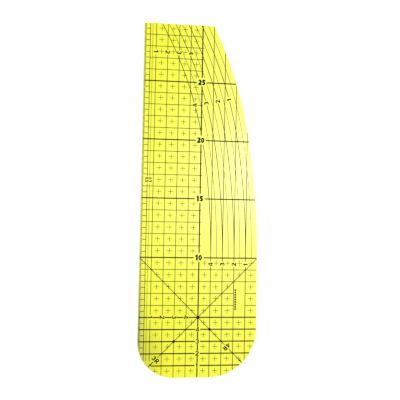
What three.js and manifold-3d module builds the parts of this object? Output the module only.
// A flexible hem pressing and pattern ruler with one curved edge.
//
// The object is one thin plastic sheet, cut to an outline with a straight left edge, two round
// lower corners and a hip curve up its right side, and the black ink printed on its top face.
// The ink stands a little proud of the sheet, and each separate deposit of it is its own solid:
// the connected network of measuring lines, the short lines that numerals cut off from it, and
// every numeral.
//
// Sizes are millimetres. The print is laid out in drawing coordinates: x from the sheet's left
// edge, y from its lower end. The finished group is centred on the sheet, with z = 0 at the
// underside and +Z up through the thickness.

import * as THREE from 'three';
import { mergeVertices } from 'three/addons/utils/BufferGeometryUtils.js';
import Module from 'manifold-3d';

// Sheet
const WIDTH = 100;
const LENGTH = 300;
const THICKNESS = 0.75;
const EDGE_BREAK = 0.125;
const LEFT_CORNER = { x: 30, y: 30, radius: 30 };
const RIGHT_CORNER = { x: 60, y: 40, radius: 40 };
const CURVE_START = 97; // where the right edge leaves the straight
const CURVE_CHANGE = 196.5; // where the lower arc hands over to the tighter upper arc
const LOWER_CURVE_RADIUS = 656;
const UPPER_CURVE_RADIUS = 361;

// Ink
const INK_THICKNESS = 0.05;
const PRINT_MARGIN = 0.4; // bare strip between the print and the cut edge
const CENTIMETRE = 10;
const HALF_CM = 5;
const HAIRLINE = 0.24;
const HALF_CURVE_LINE = 0.3;
const FINE_LINE = 0.46;
const DIAGONAL_LINE = 0.52;
const CURVE_LINE = 0.5;
const SCALE_LINE = 0.92;
const CENTRE_LINE = 0.94;

// Layout of the measuring lines
const CENTRE_X = 50;
const CENTRE_OVERHANG = 1.2; // how far the left-hand lines run past the centre line
const FIVE_CM = 50;
const CURVES_FROM = 100; // the parallel curves rise from this line
const SEVEN_MM = 7;
const LARGE_NUMERAL_X = 49.7;
const LARGE_NUMERAL_RISE = 0.2; // above the centre of its line
const SMALL_NUMERAL_SHIFT = 0.2; // to the numeral's own left, which centres its ink on the line
const TOP_NUMERAL_Y = 275;
const RIGHT_NUMERAL_Y = 94.8;
const CURVE_NUMERAL = { y: 238.4, fall: 2 }; // each numeral stands lower than the one outside it
const MARGIN_LABEL_Y = 165; // takes the place of a half-centimetre line
const MARGIN_LABEL_RISE = 0.35;
const CORNER_ARROW = { length: 3.2, width: 1.7, tail: 5.8, shaft: 0.7 };
const CROSSING_DOT = 1.4; // radius, where the diagonals cross the centre line
const CORNER_DOT = 1.2; // radius, at the centre of each round corner
const CURVE_STEPS = 5; // half the number of chords in each printed arc
const OUTLINE_STEPS = 16; // the same for the sheet's own outline
const BOWL_STEPS = 5; // half the number of chords in each round of a numeral
const STROKE_REACH = 1; // blocks reach this far above and below the print while it is cut

// Numerals: height, stroke weight as a share of the height, how much they are widened, and the
// gap between two characters
const SMALL = { height: 3.8, weight: 0.2, stretch: 1.3, gap: 0.5 };
const LARGE = { height: 4.8, weight: 0.29, stretch: 1.05, gap: 0.2 };
const TINY = { height: 2.6, weight: 0.26, stretch: 1, gap: 0.2 };
const READ_FROM_LEFT = -Math.PI / 2; // numeral tops point to +x
const READ_FROM_RIGHT = Math.PI / 2; // numeral tops point to -x
const EIGHTH_TURN = Math.PI / 4;

// Bare windows in the measuring lines, around the labels
const SMALL_WINDOW = { along: 4.3, across: 4.2 };
const LARGE_WINDOW = { width: 8.3, height: 7.6, rise: 0.4 };
const CORNER_WINDOW = { width: 7.0, height: 5.0 };
const MARGIN_WINDOW = { x: 6.0, y: MARGIN_LABEL_Y, width: 6.4, height: 6.0 };
const ARROW_WINDOW = { x: 9.2, y: 10, width: 4.6, height: 8 };
const BLANK_PANEL = { x: 85, y: 65, width: 9.4, height: 14 }; // three cells kept clear of lines

const wasm = await Module();
wasm.setup();

// ---------------------------------------------------------------- solids and cuts

function solidFromGeometry(geometry) {
  geometry.deleteAttribute('normal');
  geometry.deleteAttribute('uv');
  const merged = mergeVertices(geometry, 1e-4);
  return new wasm.Manifold(new wasm.Mesh({
    numProp: 3,
    vertProperties: new Float32Array(merged.attributes.position.array),
    triVerts: new Uint32Array(merged.index.array),
  }));
}

function geometryFromSolid(solid) {
  const mesh = solid.getMesh();
  const geometry = new THREE.BufferGeometry();
  geometry.setAttribute('position', new THREE.BufferAttribute(mesh.vertProperties, 3));
  geometry.setIndex(new THREE.BufferAttribute(mesh.triVerts, 1));
  geometry.computeVertexNormals();
  return geometry;
}

function joinAll(solids) {
  return solids.reduce((joined, solid) => joined.add(solid));
}

// A straight-sided block over the area of a shape, between two heights.
function block(shape, from, to, steps) {
  const geometry = new THREE.ExtrudeGeometry(shape, {
    depth: to - from,
    bevelEnabled: false,
    curveSegments: steps,
  });
  return solidFromGeometry(geometry.translate(0, 0, from));
}

// Strokes are joined as tall blocks and windows cut them right through.  Trimming the result to
// the ink's thickness comes last, so the top and underside of a print are each one clean plane.
function stroke(shape, steps = CURVE_STEPS) {
  return block(shape, -STROKE_REACH, STROKE_REACH, steps);
}

function cutter(shape) {
  return block(shape, -2 * STROKE_REACH, 2 * STROKE_REACH, CURVE_STEPS);
}

function inkLayer(shape) {
  return block(shape, 0, INK_THICKNESS, OUTLINE_STEPS);
}

// ---------------------------------------------------------------- outline and curves

// The two tangent arcs of the curved edge, moved inwards by an inset.
function curvedEdge(inset) {
  const handover = Math.asin((CURVE_CHANGE - CURVE_START) / LOWER_CURVE_RADIUS);
  const lower = {
    x: WIDTH - LOWER_CURVE_RADIUS,
    y: CURVE_START,
    radius: LOWER_CURVE_RADIUS - inset,
    handover,
  };
  const shift = LOWER_CURVE_RADIUS - UPPER_CURVE_RADIUS;
  const upper = {
    x: lower.x + shift * Math.cos(handover),
    y: lower.y + shift * Math.sin(handover),
    radius: UPPER_CURVE_RADIUS - inset,
  };
  upper.angleAt = (y) => Math.asin((y - upper.y) / upper.radius);
  return { lower, upper };
}

// Point on the upper arc at a height, with the direction of its outward normal.
function pointOnCurve(inset, y) {
  const { upper } = curvedEdge(inset);
  const normal = upper.angleAt(y);
  return { x: upper.x + upper.radius * Math.cos(normal), y, normal };
}

function sheetOutline(inset = 0) {
  const { lower, upper } = curvedEdge(inset);
  const top = LENGTH - inset;
  const right = WIDTH - inset;
  const shape = new THREE.Shape();
  shape.moveTo(inset, LEFT_CORNER.y);
  shape.absarc(LEFT_CORNER.x, LEFT_CORNER.y, LEFT_CORNER.radius - inset, Math.PI, 1.5 * Math.PI);
  shape.lineTo(RIGHT_CORNER.x, inset);
  shape.absarc(RIGHT_CORNER.x, RIGHT_CORNER.y, RIGHT_CORNER.radius - inset, -Math.PI / 2, 0);
  shape.lineTo(right, CURVE_START);
  shape.absarc(lower.x, lower.y, lower.radius, 0, lower.handover);
  shape.absarc(upper.x, upper.y, upper.radius, lower.handover, upper.angleAt(top));
  shape.lineTo(inset, top);
  shape.closePath();
  return shape;
}

// A printed line that runs parallel to the curved edge, all the way up.
function curveStroke(inset, weight) {
  const outer = curvedEdge(inset - weight / 2);
  const inner = curvedEdge(inset + weight / 2);
  const { handover } = outer.lower;
  const top = LENGTH + CENTIMETRE;
  const shape = new THREE.Shape();
  shape.moveTo(outer.lower.x + outer.lower.radius, CURVE_START);
  shape.absarc(outer.lower.x, outer.lower.y, outer.lower.radius, 0, handover);
  for (const [{ upper }, back] of [[outer, false], [inner, true]]) {
    const angles = [handover, upper.angleAt(top)];
    shape.absarc(upper.x, upper.y, upper.radius, ...(back ? angles.reverse() : angles), back);
  }
  shape.absarc(inner.lower.x, inner.lower.y, inner.lower.radius, handover, 0, true);
  shape.closePath();
  return shape;
}

// ---------------------------------------------------------------- strokes

// A straight stroke with square ends.
function bar(from, to, weight) {
  const start = new THREE.Vector2(...from);
  const end = new THREE.Vector2(...to);
  const side = end.clone().sub(start).normalize().multiplyScalar(weight / 2);
  side.set(-side.y, side.x);
  return new THREE.Shape([
    start.clone().sub(side),
    end.clone().sub(side),
    end.clone().add(side),
    start.clone().add(side),
  ]);
}

// A stroke along part of an ellipse, anticlockwise between two angles in degrees.
function bowl([x, y], [radiusX, radiusY], fromDegrees, toDegrees, weight) {
  const start = THREE.MathUtils.degToRad(fromDegrees);
  const end = THREE.MathUtils.degToRad(toDegrees);
  const half = weight / 2;
  const shape = new THREE.Shape();
  shape.absellipse(x, y, radiusX + half, radiusY + half, start, end, false);
  shape.absellipse(x, y, radiusX - half, radiusY - half, end, start, true);
  shape.closePath();
  return shape;
}

function ring([x, y], [radiusX, radiusY], weight) {
  const half = weight / 2;
  const shape = new THREE.Shape();
  shape.absellipse(x, y, radiusX + half, radiusY + half, 0, 2 * Math.PI);
  const hole = new THREE.Path();
  hole.absellipse(x, y, radiusX - half, radiusY - half, 0, 2 * Math.PI, true);
  shape.holes.push(hole);
  return shape;
}

function disc(x, y, radius) {
  const shape = new THREE.Shape();
  shape.absarc(x, y, radius, 0, 2 * Math.PI);
  return shape;
}

// A rectangle centred on a point and turned about it.
function panel({ x, y, width, height, angle = 0 }) {
  const corners = [[-1, -1], [1, -1], [1, 1], [-1, 1]];
  const centre = new THREE.Vector2(x, y);
  return new THREE.Shape(corners.map(([u, v]) => (
    new THREE.Vector2(u * width / 2, v * height / 2)
      .rotateAround(new THREE.Vector2(), angle)
      .add(centre)
  )));
}

// ---------------------------------------------------------------- numerals

// Plain upright characters, 1 high, drawn from their lower left corner with a stroke weight t.
const CHARACTERS = {
  0: { width: 0.6, strokes: (t) => [ring([0.3, 0.5], [0.3 - 0.42 * t, 0.5 - 0.42 * t], 0.84 * t)] },
  1: {
    width: 0.5,
    strokes: (t) => [
      bar([0.28, 0], [0.28, 1], t),
      bar([0.04, 0.74], [0.28, 1 - t / 2], 0.8 * t),
    ],
  },
  2: {
    width: 0.6,
    strokes: (t) => [
      bowl([0.3, 0.7], [0.3 - t / 2, 0.3 - t / 2], -32, 165, t),
      bar([0.3 + (0.3 - t / 2) * 0.9, 0.62], [t * 0.7, t * 0.6], t),
      bar([0, t / 2], [0.6, t / 2], t),
    ],
  },
  3: {
    width: 0.6,
    strokes: (t) => [
      bowl([0.29, 0.73], [0.28 - t / 2, 0.27 - t / 2], -95, 165, t),
      bowl([0.3, 0.3], [0.3 - t / 2, 0.3 - t / 2], -168, 95, t),
    ],
  },
  4: {
    width: 0.64,
    strokes: (t) => [
      bar([0.44, 0], [0.44, 1], 0.9 * t),
      bar([0.44 - 0.3 * t, 1 - 0.3 * t], [0.06, 0.3], 0.7 * t),
      bar([0, 0.27], [0.64, 0.27], 0.8 * t),
    ],
  },
  5: {
    width: 0.6,
    strokes: (t) => [
      bar([0.1, 1 - t / 2], [0.56, 1 - t / 2], t),
      bar([0.1 + t / 2, 1], [0.04 + t / 2, 0.46], t),
      bowl([0.29, 0.33], [0.31 - t / 2, 0.33 - t / 2], -152, 138, t),
    ],
  },
  7: {
    width: 0.6,
    strokes: (t) => [
      bar([0, 1 - t / 2], [0.6, 1 - t / 2], t),
      bar([0.6 - t / 2, 1 - t / 2], [0.18 + t / 2, 0], t),
    ],
  },
  R: {
    width: 0.62,
    strokes: (t) => [
      bar([t / 2, 0], [t / 2, 1], t),
      bar([t / 2, 1 - t / 2], [0.34, 1 - t / 2], t),
      bar([t / 2, 0.48], [0.34, 0.48], t),
      bowl([0.33, 0.74 - t / 4], [0.26 - t / 2, 0.26 - t / 4], -92, 92, t),
      bar([0.3, 0.5], [0.62 - t / 2, 0], t),
    ],
  },
  '.': { width: 0.2, strokes: () => [panel({ x: 0.1, y: 0.1, width: 0.2, height: 0.2 })] },
};

const sheetMaterial = new THREE.MeshStandardMaterial({
  name: 'yellow_sheet', color: 0xf3f53a, roughness: 0.35, metalness: 0,
});
const inkMaterial = new THREE.MeshStandardMaterial({
  name: 'black_ink', color: 0x14140e, roughness: 0.6, metalness: 0,
});

const CHARACTER_LAYER = inkLayer(panel({ x: 0.5, y: 0.5, width: 2, height: 2 }));

// One character as a mesh: its centre lies at (x, y) and it is turned about it.
function characterMesh(name, character, { x, y, angle = 0, height, weight, stretch }) {
  const { width, strokes } = CHARACTERS[character];
  const solid = joinAll(strokes(weight).map((shape) => stroke(shape, BOWL_STEPS)));
  const geometry = geometryFromSolid(solid.intersect(CHARACTER_LAYER));
  geometry.translate(-width / 2, -0.5, 0);
  geometry.scale(height * stretch, height, 1);
  const mesh = new THREE.Mesh(geometry, inkMaterial);
  mesh.name = name;
  mesh.position.set(x, y, THICKNESS);
  mesh.rotation.z = angle;
  return mesh;
}

// A row of characters centred on (x, y), one mesh for each, named by the list of names.
function characterRow(text, names, { x, y, angle = 0, ...size }) {
  const widths = [...text].map((character) => (
    CHARACTERS[character].width * size.height * size.stretch
  ));
  const total = widths.reduce((sum, width) => sum + width, size.gap * (text.length - 1));
  let start = -total / 2;
  return [...text].map((character, index) => {
    const along = start + widths[index] / 2;
    start += widths[index] + size.gap;
    return characterMesh(names[index], character, {
      x: x + along * Math.cos(angle),
      y: y + along * Math.sin(angle),
      angle,
      ...size,
    });
  });
}

// ---------------------------------------------------------------- where the numerals stand

const LARGE_NUMERALS = [100, 150, 200, 250].map((y) => (
  { text: String(y / CENTIMETRE), x: LARGE_NUMERAL_X, y }
));

const SMALL_NUMERALS = [1, 2, 3, 4].flatMap((value) => {
  const fromLeft = value * CENTIMETRE;
  const fromRight = WIDTH - value * CENTIMETRE;
  const onCurve = pointOnCurve(fromLeft, CURVE_NUMERAL.y - CURVE_NUMERAL.fall * value);
  return [
    { name: `centre_numeral_${value}`, value, x: CENTRE_X, y: fromLeft, angle: 0 },
    { name: `middle_row_numeral_${value}`, value, x: fromLeft, y: FIVE_CM, angle: READ_FROM_LEFT },
    { name: `top_row_numeral_${value}`, value, x: fromLeft, y: TOP_NUMERAL_Y, angle: READ_FROM_LEFT },
    {
      name: `right_row_numeral_${value}`,
      value,
      x: fromRight,
      y: RIGHT_NUMERAL_Y,
      angle: READ_FROM_RIGHT,
    },
    {
      name: `curve_numeral_${value}`,
      value,
      x: onCurve.x,
      y: onCurve.y,
      angle: READ_FROM_RIGHT + onCurve.normal,
    },
  ];
});

const CORNER_LABELS = [
  { text: '3R', x: 15.2, y: 15.2, angle: -EIGHTH_TURN },
  { text: '4R', x: 74.8, y: 25.2, angle: -3 * EIGHTH_TURN },
];

const MARGIN_LABELS = [
  { text: '0.5', last: 'five', x: 4.55 },
  { text: '0.7', last: 'seven', x: 7.4 },
];

// Where the measuring lines break off, so that what is printed there stays readable.
function bareWindows() {
  const windows = [
    ...LARGE_NUMERALS.map(({ x, y }) => ({ ...LARGE_WINDOW, x, y: y + LARGE_WINDOW.rise })),
    ...SMALL_NUMERALS.map(({ x, y, angle }) => ({
      x, y, angle, width: SMALL_WINDOW.across, height: SMALL_WINDOW.along,
    })),
    ...CORNER_LABELS.map(({ x, y, angle }) => ({ x, y, angle, ...CORNER_WINDOW })),
    MARGIN_WINDOW,
    ARROW_WINDOW,
    BLANK_PANEL,
  ];
  return windows.map((window) => cutter(panel(window)));
}

// ---------------------------------------------------------------- measuring lines

function verticalLine(x, weight, from = 0) {
  return stroke(bar([x, from], [x, LENGTH], weight));
}

function horizontalLine(y, weight, to = WIDTH) {
  return stroke(bar([0, y], [to, y], weight));
}

function verticalLines() {
  const solids = [
    verticalLine(HALF_CM, FINE_LINE),
    verticalLine(SEVEN_MM, HAIRLINE),
    verticalLine(CENTRE_X, CENTRE_LINE, FIVE_CM - CENTIMETRE),
  ];
  for (let x = CENTIMETRE; x < WIDTH; x += CENTIMETRE) {
    if (x !== CENTRE_X) {
      solids.push(verticalLine(x, x < CENTRE_X ? FINE_LINE : CURVE_LINE));
    }
  }
  return solids;
}

function horizontalLines() {
  const solids = [];
  for (let y = CENTIMETRE; y < LENGTH; y += CENTIMETRE) {
    const heavy = y <= FIVE_CM || y % FIVE_CM === 0;
    const wide = heavy || y < CURVES_FROM;
    const end = wide ? WIDTH : CENTRE_X + CENTRE_OVERHANG;
    solids.push(horizontalLine(y, heavy ? SCALE_LINE : FINE_LINE, end));
  }
  for (let y = LEFT_CORNER.y - HALF_CM; y < LENGTH; y += CENTIMETRE) {
    if (y !== MARGIN_LABEL_Y) {
      solids.push(horizontalLine(y, FINE_LINE, HALF_CM));
    }
  }
  return solids;
}

function parallelCurves() {
  const above = cutter(panel({
    x: WIDTH / 2, y: CURVES_FROM + LENGTH / 2, width: WIDTH, height: LENGTH,
  }));
  const solids = [];
  for (let inset = HALF_CM; inset <= 4 * CENTIMETRE; inset += HALF_CM) {
    const weight = inset % CENTIMETRE === 0 ? CURVE_LINE : HALF_CURVE_LINE;
    solids.push(stroke(curveStroke(inset, weight)).intersect(above));
  }
  return solids;
}

// The solid head of an arrow whose tip lies a little inside a corner, pointing out at it.
function arrowHead(corner, towards) {
  const out = new THREE.Vector2(Math.cos(towards), Math.sin(towards));
  const side = new THREE.Vector2(-out.y, out.x).multiplyScalar(CORNER_ARROW.width / 2);
  const centre = new THREE.Vector2(corner.x, corner.y);
  const tip = centre.clone().addScaledVector(out, corner.radius - PRINT_MARGIN);
  const back = tip.clone().addScaledVector(out, -CORNER_ARROW.length);
  return { shape: new THREE.Shape([tip, back.clone().add(side), back.clone().sub(side)]), tip, out };
}

function diagonals() {
  const middle = [CENTRE_X, FIVE_CM];
  const rightArrow = arrowHead(RIGHT_CORNER, -EIGHTH_TURN);
  return [
    stroke(bar([0, CURVES_FROM], rightArrow.tip.toArray(), DIAGONAL_LINE)),
    stroke(rightArrow.shape),
    stroke(bar([WIDTH, CURVES_FROM], middle, DIAGONAL_LINE)),
    stroke(bar(middle, [CORNER_LABELS[0].x, CORNER_LABELS[0].y], DIAGONAL_LINE)),
    stroke(disc(...middle, CROSSING_DOT)),
    stroke(disc(LEFT_CORNER.x, LEFT_CORNER.y, CORNER_DOT)),
    stroke(disc(RIGHT_CORNER.x, RIGHT_CORNER.y, CORNER_DOT)),
  ];
}

// The arrow beyond the left corner's label stands alone, in a clearing of the lines around it.
function leftCornerArrow() {
  const { shape, tip, out } = arrowHead(LEFT_CORNER, -3 * EIGHTH_TURN);
  const tail = tip.clone().addScaledVector(out, -CORNER_ARROW.tail);
  return stroke(shape)
    .add(stroke(bar(tail.toArray(), tip.toArray(), CORNER_ARROW.shaft)))
    .intersect(inkLayer(sheetOutline(PRINT_MARGIN)));
}

// The stretches of the middle row's line that its numerals cut off from the rest.
const MIDDLE_ROW_GAPS = [1, 2, 3].map((value) => [value * CENTIMETRE, (value + 1) * CENTIMETRE]);

function lineNetwork() {
  const printed = inkLayer(sheetOutline(PRINT_MARGIN));
  const lines = joinAll([
    ...verticalLines(),
    ...horizontalLines(),
    ...parallelCurves(),
    ...diagonals(),
  ]);
  const separate = MIDDLE_ROW_GAPS.map(([from, to]) => (
    cutter(panel({ x: (from + to) / 2, y: FIVE_CM, width: to - from, height: 1 }))
  ));
  return lines.subtract(joinAll([...bareWindows(), ...separate])).intersect(printed);
}

// ---------------------------------------------------------------- meshes

function sheetMesh() {
  const geometry = new THREE.ExtrudeGeometry(sheetOutline(), {
    depth: THICKNESS - 2 * EDGE_BREAK,
    bevelThickness: EDGE_BREAK,
    bevelSize: EDGE_BREAK,
    bevelOffset: -EDGE_BREAK,
    bevelSegments: 1,
    curveSegments: OUTLINE_STEPS,
  });
  const mesh = new THREE.Mesh(geometry, sheetMaterial);
  mesh.name = 'ruler_sheet';
  mesh.position.z = EDGE_BREAK;
  return mesh;
}

function inkMesh(name, solid) {
  const mesh = new THREE.Mesh(geometryFromSolid(solid), inkMaterial);
  mesh.name = name;
  mesh.position.z = THICKNESS;
  return mesh;
}

// The centre line between the small numerals, and the middle row's line between its numerals.
function separateLines() {
  const reach = SMALL_WINDOW.along / 2;
  const meshes = [];
  for (const value of [1, 2, 3, 4]) {
    const from = value === 1 ? PRINT_MARGIN : (value - 1) * CENTIMETRE + reach;
    const line = bar([CENTRE_X, from], [CENTRE_X, value * CENTIMETRE - reach], CENTRE_LINE);
    meshes.push(inkMesh(`centre_line_below_${value}`, inkLayer(line)));
  }
  MIDDLE_ROW_GAPS.forEach(([from, to], index) => {
    const line = bar([from + reach, FIVE_CM], [to - reach, FIVE_CM], SCALE_LINE);
    meshes.push(inkMesh(`middle_row_line_after_${index + 1}`, inkLayer(line)));
  });
  return meshes;
}

function largeNumerals() {
  return LARGE_NUMERALS.flatMap(({ text, x, y }) => {
    const names = [...text].map((digit) => `numeral_${text}_digit_${digit}`);
    return characterRow(text, names, { x, y: y + LARGE_NUMERAL_RISE, ...LARGE });
  });
}

function smallNumerals() {
  return SMALL_NUMERALS.map(({ name, value, x, y, angle }) => (
    characterMesh(name, String(value), {
      x: x - SMALL_NUMERAL_SHIFT * Math.cos(angle),
      y: y - SMALL_NUMERAL_SHIFT * Math.sin(angle),
      angle,
      ...SMALL,
    })
  ));
}

function cornerLabels() {
  return CORNER_LABELS.flatMap(({ text, x, y, angle }) => {
    const names = [`corner_label_${text}_number`, `corner_label_${text}_letter`];
    return characterRow(text, names, { x, y, angle, ...SMALL });
  });
}

function marginLabels() {
  return MARGIN_LABELS.flatMap(({ text, last, x }) => {
    const stem = `label_${text}`;
    const names = [`${stem}_zero`, `${stem}_point`, `${stem}_${last}`];
    return characterRow(text, names, {
      x, y: MARGIN_LABEL_Y + MARGIN_LABEL_RISE, angle: READ_FROM_LEFT, ...TINY,
    });
  });
}

const drawing = new THREE.Group();
drawing.position.set(-WIDTH / 2, -LENGTH / 2, 0);
drawing.add(
  sheetMesh(),
  inkMesh('measuring_lines', lineNetwork()),
  inkMesh('left_corner_arrow', leftCornerArrow()),
  ...separateLines(),
  ...largeNumerals(),
  ...smallNumerals(),
  ...cornerLabels(),
  ...marginLabels(),
);

const ruler = new THREE.Group();
ruler.add(drawing);

export default ruler;
